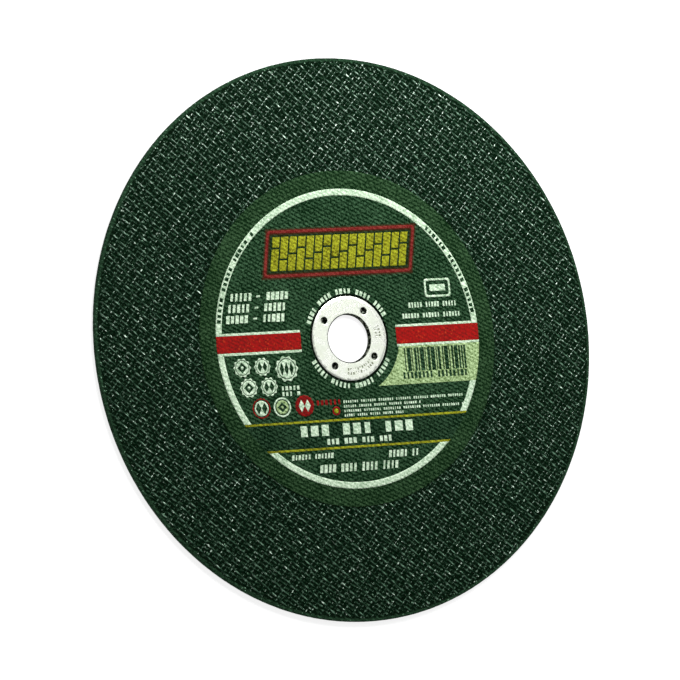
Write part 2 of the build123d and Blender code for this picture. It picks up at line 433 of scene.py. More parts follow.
def label_paper():
    """Dark green printed paper, olive outside the white ring, darker in the band between the lines."""
    f = Finish("label_paper", Specular_IOR_Level=0.03)
    cloth = f.cloth()
    fleck = f.grain(0.9 * MM, 2.0)
    patches = f.grain(16 * MM)
    radius = from_middle(f.x, f.y)
    outer = radius.above(PRINT_R + 0.1 * MM, 0.5 * MM)
    band = f.y.above(BAND_LOW) * (1 - f.y.above(BAND_TOP)) * (1 - outer)
    # The tone mixes the paper's own mottle with painted shade: darker in the cloth's hollows, paler on
    # its ridges
    tone = cloth * 0.8 + fleck * 2.1 + patches * 0.5 - 1.43
    inner = f.mix(tone, paint(0, 21, 4), paint(57, 87, 61))
    olive = f.mix(tone, paint(3, 25, 6), paint(55, 82, 54))
    dark = f.mix(tone, paint(0, 18, 4), paint(50, 78, 55))
    lean = (f.y - PANEL_CENTRE[1]) * math.tan(PANEL_LEAN) + PANEL_CENTRE[0]
    off_side = (f.x - lean).math("ABSOLUTE") - (PANEL_W - PANEL_LINE) / 2
    off_end = (f.y - PANEL_CENTRE[1]).math("ABSOLUTE") - (PANEL_H - PANEL_LINE) / 2
    off_frame = off_side.math("MAXIMUM", off_end)
    inner = f.mix((1 - off_frame.above(0.0)) * 0.6, inner, paint(18, 24, 6))
    spread_ink = 1 - off_frame.math("ABSOLUTE").above(1.4 * MM, 1.2 * MM)
    inner = f.mix(spread_ink * 0.8, inner, paint(60, 22, 11))
    printed = f.mix(outer, f.mix(band, inner, dark), olive)
    # Painted shade: a near-black ring on the paper round its hole, where the edge by the flange lies in
    # shade
    hub_edge_shade = 1 - radius.above(LABEL_HOLE_R + 0.45 * MM, 0.3 * MM)
    f.colour(f.mix(hub_edge_shade, printed, paint(2, 9, 3)))
    f.roughness(0.92 - cloth * 0.1)
    f.bump(cloth * 0.8 + fleck * 0.4, 0.05 * MM)
    return f.material


def ink(name, full, worn, wear=0.5, thinner=0.0, flecks=None, upper=None):
    """Printing ink: full on the cloth's ridges and darker in its hollows, partly worn and partly painted
    shade.

    It may be thinner away from the bars, have flecks on them, and have a tone of its own above them.
    """
    f = Finish(name, Specular_IOR_Level=0.05)
    cloth = f.cloth()
    fleck = f.grain(0.9 * MM, 2.0)
    off_bars = f.y.math("ABSOLUTE").above(BAR_TOP)
    # The worn colour is partly wear and partly painted shade, which the (1 - cloth) term puts in the
    # cloth's hollows
    tone = (1 - cloth) * 0.6 + fleck * 2.0 + f.grain(7 * MM) * 0.7 - 1.65 + wear + off_bars * thinner
    if upper:
        full = f.mix(f.y.above(BAR_TOP), full, upper)
    body = f.mix(tone, full, worn)
    if flecks:
        specked = f.specks(0.7 * MM).above(0.94) * f.grain(5 * MM).above(0.5, 0.2) * (1 - off_bars)
        body = f.mix(specked, body, flecks)
    f.colour(body)
    f.roughness(0.88 - cloth * 0.1)
    f.bump(cloth * 0.8 + fleck * 0.3, 0.04 * MM)
    return f.material


def ring_steel():
    """Bright plated sheet with scuffs and plain punched ticks, painted near black as shade inside the
    collar and round each hole's rolled edge.
    """
    f = Finish("ring_steel", Specular_IOR_Level=0.0)
    radius = from_middle(f.x, f.y)
    turned = f.grain(1 * MM, 2.0, f.point(radius * 4.0, 0.0, f.z * 4.0))
    scuffs = f.grain(4 * MM, 4.0)
    ticks = punched_ticks(f, radius, f.y.math("ARCTAN2", f.x))
    bright = f.mix(scuffs * 1.6 + turned * 0.4 - 0.5, paint(246, 249, 242), paint(216, 224, 204))
    marked = f.mix(ticks, bright, paint(120, 126, 102))
    # Painted shade: the collar's inside and a rim round each hole are near black with a few paler specks,
    # and less metallic
    dark = 1 - radius.above(BORE_R + 0.6 * MM, 0.12 * MM)
    for hole in HOLES:
        away = from_middle(f.x - hole.x, f.y - hole.y)
        dark = (1 - away.above(HOLE_R + 0.42 * MM, 0.15 * MM)) + dark
    painted_shade_colour = f.mix(f.specks(0.8 * MM).above(0.76), paint(12, 16, 11), paint(112, 118, 104))
    f.colour(f.mix(dark, marked, painted_shade_colour))
    f.feed(f.surface.inputs["Metallic"], (1 - dark) * 0.75)
    f.roughness(0.2 + scuffs * 0.12 + turned * 0.04)
    f.bump(turned * 0.15 + scuffs * 0.2 - ticks, 0.05 * MM)
    return f.material


def punched_ticks(f, radius, bearing):
    """1 inside short radial ticks, in two pairs of rows on the flange."""
    pitch = math.radians(5.0)
    across = (bearing / pitch).math("FRACT")
    tick = across.above(0.2) * (1 - across.above(0.72))
    on_row = radius.above(15.9 * MM) * (1 - radius.above(17.3 * MM))
    on_row = on_row + radius.above(18.0 * MM) * (1 - radius.above(19.4 * MM))
    rows = 0.0
    for middle, half in ((math.radians(9), math.radians(11)), (math.radians(-72), math.radians(27))):
        rows = (1 - (bearing - middle).math("ABSOLUTE").above(half)) + rows
    return tick * on_row * rows * f.grain(1.6 * MM, 1.0).above(0.46, 0.1)


def studio_floor():
    """A pale floor with a soft glow of its own, so that it stays white away from the lights."""
    f = Finish("studio_floor", Specular_IOR_Level=0.0, Roughness=0.9, Emission_Strength=0.82)
    f.surface.inputs["Base Color"].default_value = (0.3, 0.3, 0.3, 1.0)
    f.surface.inputs["Emission Color"].default_value = (1.0, 1.0, 1.0, 1.0)
    return f.material


# Flat shapes, their meshes and the cloth's relief on them
def circle(radius, count, centre=(0.0, 0.0)):
    turns = np.arange(count) * 2 * math.pi / count
    return np.stack([centre[0] + radius * np.cos(turns), centre[1] + radius * np.sin(turns)], -1)


def level_line(y):
    """A line across the whole print, and a little past it."""
    reach = PRINT_R + MM
    return np.array([(-reach, y), (reach, y)])


def box_loop(left, right, low, high):
    return np.array([(left, low), (right, low), (right, high), (left, high)])


def slanted(x, y, width, height):
    """A block that leans to the right as the panel does, about its middle."""
    loop = box_loop(x - width / 2, x + width / 2, y - height / 2, y + height / 2)
    loop[:, 0] += (loop[:, 1] - y) * math.tan(PANEL_LEAN)
    return loop


def rounded(loop, radius, steps=5):
    """The same outline with a short curve at each corner."""
    spots = []
    for before, corner, after in zip(np.roll(loop, 1, 0), loop, np.roll(loop, -1, 0)):
        start = corner + (before - corner) * radius / np.linalg.norm(before - corner)
        end = corner + (after - corner) * radius / np.linalg.norm(after - corner)
        for t in np.linspace(0, 1, steps):
            spots.append(start * (1 - t) ** 2 + corner * 2 * t * (1 - t) + end * t ** 2)
    return np.array(spots)


def scalloped(centre, radius, tips=10, depth=0.08):
    turns = np.arange(tips * 6) * 2 * math.pi / (tips * 6)
    reach = radius * (1 - depth + depth * np.cos(turns * tips))
    return np.stack([centre[0] + reach * np.cos(turns), centre[1] + reach * np.sin(turns)], -1)


def diamond(x, y, width, height):
    return np.array([(x - width / 2, y), (x, y - height / 2), (x + width / 2, y), (x, y + height / 2)])


def diamonds(centre, radius, count):
    """Plain diamonds side by side, inside a round of the given radius. A lone one has an open middle."""
    pitch = 1.9 * radius / count
    loops = [circle(radius * 0.26, 12, centre)] if count == 1 else []
    for k in range(count):
        across = centre[0] + pitch * (k - (count - 1) / 2)
        loops.append(diamond(across, centre[1], pitch * 0.94, radius * 1.7))
    return loops


def within(spots, loop):
    """Which spots lie inside a closed chain of corners."""
    hit = np.zeros(len(spots), bool)
    near = np.flatnonzero(((spots > loop.min(0)) & (spots < loop.max(0))).all(1))
    x, y = spots[near].T
    inside = np.zeros(len(near), bool)
    for (ax, ay), (bx, by) in zip(loop, np.roll(loop, -1, 0)):
        if ay != by:
            inside ^= ((ay > y) != (by > y)) & (x < ax + (y - ay) * (bx - ax) / (by - ay))
    hit[near] = inside
    return hit


def even_odd(spots, loops):
    """Inside an odd number of the loops, so that a loop inside another is an opening in it."""
    hit = np.zeros(len(spots), bool)
    for loop in loops:
        hit ^= within(spots, loop)
    return hit


def ridge_grid(reach, step=RIDGE_STEP, run=RIDGE_RUN):
    """Spots in rows along the twill's ridges, over a square of the given reach."""
    across, along = np.meshgrid(np.arange(-reach, reach, step), np.arange(-reach, reach, run))
    c, s = math.cos(TWILL_TURN), math.sin(TWILL_TURN)
    return np.stack([across * c - along * s, across * s + along * c], -1).reshape(-1, 2)


def clear_of_edge(spots, keep, room=0.16 * MM):
    """The spots that the shape holds with room to spare on all sides."""
    held = keep(spots)
    for step in ((room, 0), (-room, 0), (0, room), (0, -room)):
        held &= keep(spots + np.array(step))
    return spots[held]


def triangulate(chains, keep, fill=()):
    """Triangles of the flat shape that keep marks. Its edges follow the chains: (corners, closed)."""
    spots, links = [], []
    for chain, closed in chains:
        first = len(spots)
        spots += [Vector(spot) for spot in chain]
        links += [(k, k + 1) for k in range(first, len(spots) - 1)]
        if closed:
            links.append((len(spots) - 1, first))
    spots += [Vector(spot) for spot in fill]
    made = delaunay_2d_cdt(spots, links, [], 0, 1e-8, False)
    spots = np.array([tuple(spot) for spot in made[0]])
    faces = np.array(made[2])
    faces = faces[keep(spots[faces].mean(1))]
    used, faces = np.unique(faces, return_inverse=True)
    return spots[used], faces.reshape(-1, 3)


def lifted(spots, heights):
    return np.column_stack([spots, np.broadcast_to(heights, len(spots))])


def rim_edges(faces):
    """The edges that only one triangle has, each as (from, to) with the shape on its left."""
    edges = np.concatenate([faces[:, [0, 1]], faces[:, [1, 2]], faces[:, [2, 0]]])
    span = faces.max() + 1
    lone = ~np.isin(edges[:, 0] * span + edges[:, 1], edges[:, 1] * span + edges[:, 0])
    return edges[lone]


def joined(name, parts, finish):
    """One closed mesh of (corners, faces, smooth) parts that meet edge to edge."""
    shell = bmesh.new()
    for corners, faces, smooth in parts:
        points = [shell.verts.new(corner) for corner in corners]
        for face in faces:
            shell.faces.new([points[k] for k in face]).smooth = smooth
    bmesh.ops.remove_doubles(shell, verts=shell.verts, dist=1e-7)
    mesh = bpy.data.meshes.new(name)
    shell.to_mesh(mesh)
    shell.free()
    mesh.materials.append(finish)
    piece = bpy.data.objects.new(name, mesh)
    bpy.context.scene.collection.objects.link(piece)
    return piece


def slab(chains, keep, top, low, fill):
    """The parts of a thin closed sheet: a top that follows a height, walls, and a flat underside."""
    spots, faces = triangulate(chains, keep, clear_of_edge(fill, keep))
    upper = lifted(spots, top(spots))
    edges = rim_edges(faces)
    lower = lifted(spots, low)
    corners = np.concatenate([lower, upper])
    shift = len(spots)
    walls = np.column_stack([edges, edges[:, ::-1] + shift])
    under_spots, under = triangulate(chains, keep)
    return [
        (upper, faces, True),
        (corners, walls, False),
        (lifted(under_spots, low), under[:, ::-1], False),
    ]


def cloth_depth(spots):
    """How far the press cloth has sunk the face at each spot."""
    height = sum(s * np.cos(spots[:, 0] * kx + spots[:, 1] * ky) for kx, ky, s in CLOTH_WAVES)
    return CLOTH_DEPTH * (1 - height) / 2


def grit(spots, size, depth, layer=0.0):
    """Soft unevenness of the mix, from zero down to the given depth."""
    return np.array([
        (noise.noise(Vector((x / size, y / size, layer))) - 1) * depth / 2 for x, y in spots
    ])


def radius_of(spots, centre=(0.0, 0.0)):
    return np.hypot(spots[:, 0] - centre[0], spots[:, 1] - centre[1])


def ring_between(inner, outer):
    """A test that marks the spots in a flat ring."""
    def keep(spots):
        radius = radius_of(spots)
        return (radius > inner) & (radius < outer)

    return keep


# The mix
def mix_front(spots):
    """Height of the front face of the mix: the recess for the flange, its pockets, then the face."""
    radius = radius_of(spots)
    face = DISC_T - MIX_SINK - cloth_depth(spots) + grit(spots, 1.6 * MM, MIX_GRIT * 2)
    height = np.where(radius < NET_IN_R + STEP_RUN / 2, RECESS_Z, face)
    for hole in HOLES:
        in_pocket = radius_of(spots, hole) < POCKET_R - STEP_RUN / 2
        height = np.where(in_pocket, RECESS_Z - POCKET_DEPTH, height)
    return height


def mix_back(spots):
    """Height of the back face of the mix: flat at the hub, then the face between the yarns."""
    face = MIX_SINK - grit(spots, 3.0 * MM, MIX_GRIT, layer=7.0)
    return np.where(radius_of(spots) < NET_IN_R + STEP_RUN / 2, 0.0, face)


def strips(rings):
    """Quads between rings of corners, each ring counted anticlockwise.

    They face outwards where each ring lies below the one before it, and up where it lies outside it.
    """
    count = len(rings[0])
    faces = []
    for k in range(len(rings) - 1):
        for i in range(count):
            j = (i + 1) % count
            faces.append((k * count + i, (k + 1) * count + i, (k + 1) * count + j, k * count + j))
    return np.concatenate(rings), faces


def mix_body(finish):
    """The mix as one closed body: its two faces, its worn rim and its bore."""
    inner, outer = circle(COLLAR_R, BORE_CUTS), circle(MIX_EDGE_R, RIM_CUTS)
    pockets = [circle(POCKET_R - d, POCKET_CUTS, hole) for hole in HOLES for d in (0, STEP_RUN)]
    steps = [circle(NET_IN_R + d, FLANGE_CUTS) for d in (0, STEP_RUN)]
    keep = ring_between(COLLAR_R, MIX_EDGE_R)
    fine, coarse = ridge_grid(DISC_R), ridge_grid(LABEL_R, 4 * MM, 4 * MM)
    under_label = ring_between(NET_IN_R + 2 * MM, LABEL_R - 2 * LABEL_LAP)
    fill = np.concatenate([fine[radius_of(fine) > LABEL_R - LABEL_LAP], coarse[under_label(coarse)]])
    chains = [(loop, True) for loop in (inner, outer, *pockets, *steps)]
    front, front_faces = triangulate(chains, keep, clear_of_edge(fill, keep))
    back_fill = ridge_grid(DISC_R, 2.2 * MM, 2.2 * MM)
    back_fill = back_fill[radius_of(back_fill) > NET_IN_R + MM]
    back_chains = [(loop, True) for loop in (inner, outer, *steps)]
    back, back_faces = triangulate(back_chains, keep, clear_of_edge(back_fill, keep))
    rim = [lifted(outer, mix_front(outer))]
    for pull, height in RIM_PROFILE:
        edge = circle(DISC_R - pull * MM, RIM_CUTS)
        worn = 1 + grit(edge, 1.3 * MM, 0.16 * MM, layer=height) / DISC_R
        rim.append(lifted(edge * worn[:, None], height * MM))
    rim.append(lifted(outer, mix_back(outer)))
    bore = [lifted(inner, mix_back(inner)), lifted(inner, mix_front(inner))]
    parts = [
        (lifted(front, mix_front(front)), front_faces, True),
        (lifted(back, mix_back(back)), back_faces[:, ::-1], True),
        (*strips(rim), True),
        (*strips(bore), True),
    ]
    return joined("mix_body", parts, finish)


# Geometry trees
class Recipe(Board):
    """A geometry tree with named inputs. Its last steps realize instances and set the material."""

    def __init__(self, name, **inputs):
        super().__init__(bpy.data.node_groups.new(name, "GeometryNodeTree"))
        face = self.tree.interface
        face.new_socket("Geometry", in_out="OUTPUT", socket_type="NodeSocketGeometry")
        kinds = {float: "Float", int: "Int", type(None): "Material"}
        self.identifiers = {}
        for label, value in inputs.items():
            kind = "NodeSocket" + kinds[type(value)]
            socket = face.new_socket(label, in_out="INPUT", socket_type=kind)
            self.identifiers[label] = socket.identifier
            if value is not None:
                socket.default_value = value
        given = self.tree.nodes.new("NodeGroupInput")
        for label in inputs:
            setattr(self, label, Sock(self, given.outputs[label]))

    def serve(self, geometry):
        real = self.node("GeometryNodeRealizeInstances", {}, {0: geometry})
        painted = self.node("GeometryNodeSetMaterial", {}, {"Geometry": real, "Material": self.finish})
        self.tree.links.new(painted.socket, self.tree.nodes.new("NodeGroupOutput").inputs[0])

    def joined(self, parts):
        join = self.tree.nodes.new("GeometryNodeJoinGeometry")
        for part in reversed(parts):
            self.tree.links.new(part.socket, join.inputs[0])
        return Sock(self, join.outputs[0])

    def place(self):
        return self.axes(self.node("GeometryNodeInputPosition", {}, {}))

    def mesh(self, **values):
        """A plain mesh of what the tree gives for these values."""
        holder = bpy.data.objects.new(self.tree.name, bpy.data.meshes.new(self.tree.name))
        bpy.context.scene.collection.objects.link(holder)
        modifier = holder.modifiers.new(self.tree.name, "NODES")
        modifier.node_group = self.tree
        for label, value in values.items():
            modifier[self.identifiers[label]] = value
        bpy.context.view_layer.update()
        made = holder.evaluated_get(bpy.context.evaluated_depsgraph_get())
        mesh = bpy.data.meshes.new_from_object(made)
        bpy.data.objects.remove(holder)
        return mesh


def yarn_layer(r, pitch, width, turn, cross_pitch, cross_turn, side, shift, strength):
    """One set of yarns: a grid kept only along its length, waved over and under the crossing set."""
    count = (r.outer_radius / pitch).math("FLOOR") * 2.0 + 1.0
    sizes = {
        "Size X": (count - 1.0) * pitch,
        "Size Y": r.outer_radius * 2.0,
        "Vertices X": count,
        "Vertices Y": (r.outer_radius * 2.0 / r.step).math("CEIL"),
    }
    grid = r.node("GeometryNodeMeshGrid", {}, sizes)
    grid = r.node("GeometryNodeTransform", {}, {"Geometry": grid, "Translation": r.point(pitch * shift)})
    x, y, _ = r.place()
    middle = (r.outer_radius + r.inner_radius) * 0.5
    half = (r.outer_radius - r.inner_radius) * 0.5
    off_ring = (from_middle(x, y) - middle).math("ABSOLUTE").above(half)
    trimmed = r.node("GeometryNodeDeleteGeometry", {"domain": "POINT"}, {0: grid, 1: off_ring})
    ends = r.node("GeometryNodeInputMeshEdgeVertices", {}, {}, out=("Position 1", "Position 2"))
    spread = (r.axes(ends[0])[0] - r.axes(ends[1])[0]).math("ABSOLUTE")
    crosswise = spread.above(pitch * 0.5)
    settings = {"domain": "EDGE", "mode": "EDGE_FACE"}
    strands = r.node("GeometryNodeDeleteGeometry", settings, {0: trimmed, 1: crosswise})
    curves = r.node("GeometryNodeMeshToCurve", {}, {0: strands})
    gap = cross_turn - turn
    over = x / pitch + (x * gap.math("COSINE") + y * gap.math("SINE")) / cross_pitch
    crest = (over * math.pi).math("COSINE") * side
    noise_in = {"Scale": 1 / (45 * MM), "Detail": 1.0, "W": r.seed + side + shift}
    drift = r.node("ShaderNodeTexNoise", {"noise_dimensions": "4D"}, noise_in)
    sunk = (1.0 - strength) * r.thickness * -0.3
    offset = r.point((drift - 0.5) * 2.0 * r.wander, 0.0, crest * r.weave + sunk)
    waved = r.node("GeometryNodeSetPosition", {}, {"Geometry": curves, "Offset": offset})
    level = r.node("GeometryNodeSetCurveNormal", {"mode": "Z_UP"}, {0: waved})
    round_profile = {"Resolution": YARN_SIDES, "Radius": 1.0}
    ring = r.node("GeometryNodeCurvePrimitiveCircle", {"mode": "RADIUS"}, round_profile)
    flat = r.point(width * 0.5, r.thickness * 0.5, 1.0)
    profile = r.node("GeometryNodeTransform", {}, {"Geometry": ring, "Scale": flat})
    inputs = {"Curve": level, "Profile Curve": profile, "Fill Caps": True}
    tubes = r.node("GeometryNodeCurveToMesh", {}, inputs)
    own_place = r.node("GeometryNodeInputPosition", {}, {})
    named = {"Geometry": tubes, "Name": "yarn_place", "Value": own_place}
    placed = r.node("GeometryNodeStoreNamedAttribute", {"data_type": "FLOAT_VECTOR"}, named)
    named = {"Geometry": placed, "Name": "strength", "Value": strength}
    known = r.node("GeometryNodeStoreNamedAttribute", {"data_type": "FLOAT"}, named)
    smooth = r.node("GeometryNodeSetShadeSmooth", {}, {"Geometry": known})
    inputs = {
        "Geometry": smooth,
        "Translation": r.point(z=r.middle_height),
        "Rotation": r.point(z=turn),
    }
    return r.node("GeometryNodeTransform", {}, inputs)


def woven_net_recipe():
    """Two sets of yarns cut to a ring: warp and weft pass over and under each other at each crossing."""
    r = Recipe(
        "woven_net",
        outer_radius=NET_OUT_R,
        inner_radius=NET_IN_R,
        step=YARN_STEP,
        thickness=YARN_T,
        weave=WEAVE,
        middle_height=DISC_T - NET_MIDDLE,
        wander=YARN_WANDER,
        warp_pitch=WARP_PITCH,
        warp_width=WARP_W,
        warp_turn=WARP_TURN,
        warp_shift=0.0,
        warp_strength=1.0,
        weft_pitch=WEFT_PITCH,
        weft_width=WEFT_W,
        weft_turn=WEFT_TURN,
        weft_shift=0.0,
        weft_strength=0.78,
        seed=11.0,
        finish=None,
    )
    warp = (r.warp_pitch, r.warp_width, r.warp_turn)
    weft = (r.weft_pitch, r.weft_width, r.weft_turn)
    layers = [
        yarn_layer(r, *warp, r.weft_pitch, r.weft_turn, 1.0, r.warp_shift, r.warp_strength),
        yarn_layer(r, *weft, r.warp_pitch, r.warp_turn, -1.0, r.weft_shift, r.weft_strength),
    ]
    r.serve(r.joined(layers))
    return r


def marks(r, spots, turn):
    """At each spot of a row, one plain solid block of its own width and height."""
    def luck(low, high, salt):
        inputs = {2: low, 3: high, "Seed": r.seed + salt}
        return r.node("FunctionNodeRandomValue", {"data_type": "FLOAT"}, inputs, out=1)

    block = r.node("GeometryNodeMeshCube", {}, {"Size": (1.0, 1.0, 1.0)})
    width = r.pitch * r.cover * luck(*MARK_WIDTHS, 1)
    size = r.point(width, r.height * luck(*MARK_HEIGHTS, 2), r.thickness)
    inputs = {"Points": spots, "Instance": block, "Rotation": r.point(z=turn), "Scale": size}
    return r.node("GeometryNodeInstanceOnPoints", {}, inputs)


def row_of_spots(r, x, y):
    """The row's spots, without those where one word ends and the next begins."""
    index = r.node("GeometryNodeInputIndex", {}, {})
    inputs = {"Count": r.count, "Position": r.point(x, y, r.middle_height)}
    spots = r.node("GeometryNodePoints", {}, inputs)
    between = index.math("MODULO", r.word + r.gap).above(r.word - 0.5)
    return r.node("GeometryNodeDeleteGeometry", {"domain": "POINT"}, {0: spots, 1: between})


def row_inputs():
    """The named inputs that a level row and a round one share."""
    return {
        "count": 9,
        "word": 5,
        "gap": 1,
        "pitch": 3.0 * MM,
        "height": 4.0 * MM,
        "cover": 0.72,
        "thickness": ROW_T,
        "middle_height": INK_TOP - ROW_T / 2,
        "seed": 1,
        "finish": None,
    }


def level_row_recipe():
    """A level row of plain blocks in words, which may lean."""
    r = Recipe("level_row", start_x=0.0, row_y=0.0, lean=0.0, **row_inputs())
    index = r.node("GeometryNodeInputIndex", {}, {})
    spots = row_of_spots(r, r.start_x + (index + 0.5) * r.pitch, r.row_y)
    real = r.node("GeometryNodeRealizeInstances", {}, {0: marks(r, spots, 0.0)})
    shift = (r.place()[1] - r.row_y) * r.lean
    r.serve(r.node("GeometryNodeSetPosition", {}, {"Geometry": real, "Offset": r.point(shift)}))
    return r


def round_row_recipe():
    """A row of plain blocks round the middle, clockwise from a bearing."""
    r = Recipe("round_row", radius=HUB_ROW_R * MM, start_turn=0.0, **row_inputs())
    index = r.node("GeometryNodeInputIndex", {}, {})
    bearing = r.start_turn - (index + 0.5) * r.pitch / r.radius
    spots = row_of_spots(r, bearing.math("COSINE") * r.radius, bearing.math("SINE") * r.radius)
    x, y, _ = r.place()
    r.serve(marks(r, spots, y.math("ARCTAN2", x) - math.pi / 2))
    return r


def grain_recipe():
    """Small faceted grains scattered on an upright band round the rim."""
    r = Recipe(
        "rim_grains",
        radius=DISC_R - GRAIN_R,
        band=DISC_T - 0.7 * MM,
        middle_height=DISC_T / 2,
        grain=GRAIN_R,
        density=1.1 / MM ** 2,
        seed=4,
        finish=None,
    )
    inputs = {"Vertices": RIM_CUTS // 4, "Radius": r.radius, "Depth": r.band}
    band = r.node("GeometryNodeMeshCylinder", {"fill_type": "NONE"}, inputs)
    inputs = {"Geometry": band, "Translation": r.point(z=r.middle_height)}
    band = r.node("GeometryNodeTransform", {}, inputs)
    inputs = {"Mesh": band, "Density": r.density, "Seed": r.seed}
    spots = r.node("GeometryNodeDistributePointsOnFaces", {}, inputs)
    inputs = {2: 0.35, 3: 1.0, "Seed": r.seed}
    size = r.node("FunctionNodeRandomValue", {"data_type": "FLOAT"}, inputs, out=1)
    inputs = {0: (0.0, 0.0, 0.0), 1: (6.28, 6.28, 6.28), "Seed": r.seed}
    spin = r.node("FunctionNodeRandomValue", {"data_type": "FLOAT_VECTOR"}, inputs)
    grain = r.node("GeometryNodeMeshIcoSphere", {}, {"Radius": r.grain, "Subdivisions": 1})
    inputs = {"Points": spots, "Instance": grain, "Rotation": spin, "Scale": size}
    r.serve(r.node("GeometryNodeInstanceOnPoints", {}, inputs))
    return r


def gathered(name, meshes):
    """One object of several meshes that share a finish."""
    bundle = bmesh.new()
    for mesh in meshes:
        bundle.from_mesh(mesh)
    for face in bundle.faces:
        face.material_index = 0
    whole = bpy.data.meshes.new(name)
    bundle.to_mesh(whole)
    bundle.free()
    whole.materials.append(meshes[0].materials[-1])
    piece = bpy.data.objects.new(name, whole)
    bpy.context.scene.collection.objects.link(piece)
    return piece


# The label and its inks
def printed_label(finish):
    """The paper, with the press cloth's relief on its face."""
    def top(spots):
        return LABEL_TOP - cloth_depth(spots)

    chains = [(circle(LABEL_R, LABEL_CUTS), True), (circle(LABEL_HOLE_R, FLANGE_CUTS), True)]
    keep = ring_between(LABEL_HOLE_R, LABEL_R)
    sheet = slab(chains, keep, top, DISC_T - LABEL_SINK, ridge_grid(LABEL_R))
    return joined("printed_label", sheet, finish)


def ink_shapes(name, finish, rounds, levels, loops, field):
    """One colour's shapes: what the loops hold, and what the field marks between rounds and levels."""
    chains = [(loop, True) for loop in (*rounds, *loops)] + [(level_line(y), False) for y in levels]

    def keep(spots):
        return even_odd(spots, loops) ^ field(*spots.T, radius_of(spots))

    def top(spots):
        return INK_TOP - cloth_depth(spots)

    return joined(name, slab(chains, keep, top, LABEL_TOP - INK_SINK, ridge_grid(PRINT_R)), finish)


def white_shapes(finish):
    """The ring, the lines along the bars, the badges, dashes, and a plain plaque at the upper right."""
    def field(x, y, radius):
        ring = (radius < PRINT_R) & (radius > RING_IN_R)
        ring &= (np.abs(y) > BAR_TOP) & ~((x > 0) & (y < 0) & (y > FIELD_LOW))
        ring &= ~((y > BAND_LOW) & (y < BAND_TOP))
        lines = (radius < PRINT_R) & (np.abs(y) < BAR_TOP) & (np.abs(y) > BAR_H / 2)
        return ring | (lines & ((x < BAR_LEFT_X) | (x > BAR_RIGHT_X)))

    loops = []
    for centre, radius, count in BADGES:
        loops.append(scalloped(centre, radius))
        loops += [circle(radius * share, BADGE_CUTS, centre) for share in BADGE_LINE]
        loops += diamonds(centre, radius * BADGE_CORE, count)
    loops += [circle(5.2 * MM, 48, WHITE_RING), circle(4.3 * MM, BADGE_CUTS, WHITE_RING)]
    loops += [circle(4.1 * MM, BADGE_CUTS, RED_RING), *diamonds(RED_RING, 3.8 * MM, 2)]
    loops += diamonds(RED_DISC, RED_DISC_CORE, 2)
    x, y = PLAQUE
    for inset, corner in PLAQUE_LINES:
        across, up = PLAQUE_W / 2 - inset, PLAQUE_H / 2 - inset
        loops.append(rounded(box_loop(x - across, x + across, y - up, y + up), corner))
    loops += [slanted(x, y, DASH_W, DASH_H) for x, y in DASHES]
    ends = box_loop(BAR_LEFT_X, BAR_RIGHT_X, -BAR_TOP, BAR_TOP)
    rounds = [circle(PRINT_R, PRINT_CUTS), circle(RING_IN_R, RING_IN_CUTS), ends]
    levels = (-BAR_TOP, -BAR_H / 2, BAR_H / 2, BAR_TOP, FIELD_LOW, BAND_TOP, BAND_LOW)
    return ink_shapes("white_ink_shapes", finish, rounds, levels, loops, field)


def red_shapes(finish):
    """The two bars, the slanted frame, and the red badges."""
    def field(x, y, radius):
        return (radius < PRINT_R) & (np.abs(y) < BAR_H / 2) & ((x < BAR_LEFT_X) | (x > BAR_RIGHT_X))

    x, y = PANEL_CENTRE
    inner = PANEL_LINE * 2
    loops = [
        rounded(slanted(x, y, PANEL_W, PANEL_H), PANEL_CORNER),
        rounded(slanted(x, y, PANEL_W - inner, PANEL_H - inner), PANEL_CORNER / 2),
        scalloped(RED_RING, 5.5 * MM, 16, 0.03),
        circle(4.6 * MM, BADGE_CUTS, RED_RING),
        scalloped(RED_DISC, 5.8 * MM, 16, 0.03),
        *diamonds(RED_DISC, RED_DISC_CORE, 2),
        circle(2.4 * MM, DOT_CUTS, SMALL_DISC),
        circle(1.5 * MM, DOT_CUTS, SMALL_DISC),
    ]
    ends = box_loop(BAR_LEFT_X, BAR_RIGHT_X, -BAR_H / 2, BAR_H / 2)
    rounds = [circle(PRINT_R, PRINT_CUTS), ends]
    return ink_shapes("red_ink_shapes", finish, rounds, (-BAR_H / 2, BAR_H / 2), loops, field)


def yellow_shapes(finish):
    """The cut blocks in the frame, the lines round the lower band, and a small disc."""
    def field(x, y, radius):
        upper = (y < BAND_TOP) & (y > BAND_TOP - YELLOW_LINE)
        lower = (y > BAND_LOW) & (y < BAND_LOW + YELLOW_LINE)
        return (radius < PRINT_R) & (upper | lower)

    loops = [circle(1.3 * MM, DOT_CUTS, SMALL_DISC)]
    x, y = PANEL_CENTRE
    for k in range(BLOCK_COUNT):
        cut = BLOCK_SHARES[k % 3] * BLOCK_H
        for low, high in ((0, cut - BLOCK_CUT / 2), (cut + BLOCK_CUT / 2, BLOCK_H)):
            middle = (low + high - BLOCK_H) / 2
            across = x + (k - (BLOCK_COUNT - 1) / 2) * BLOCK_PITCH + middle * math.tan(PANEL_LEAN)
            loops.append(slanted(across, y + middle, BLOCK_W, high - low))
    levels = (BAND_TOP, BAND_TOP - YELLOW_LINE, BAND_LOW + YELLOW_LINE, BAND_LOW)
    rounds = [circle(PRINT_R, PRINT_CUTS)]
    return ink_shapes("yellow_ink_shapes", finish, rounds, levels, loops, field)


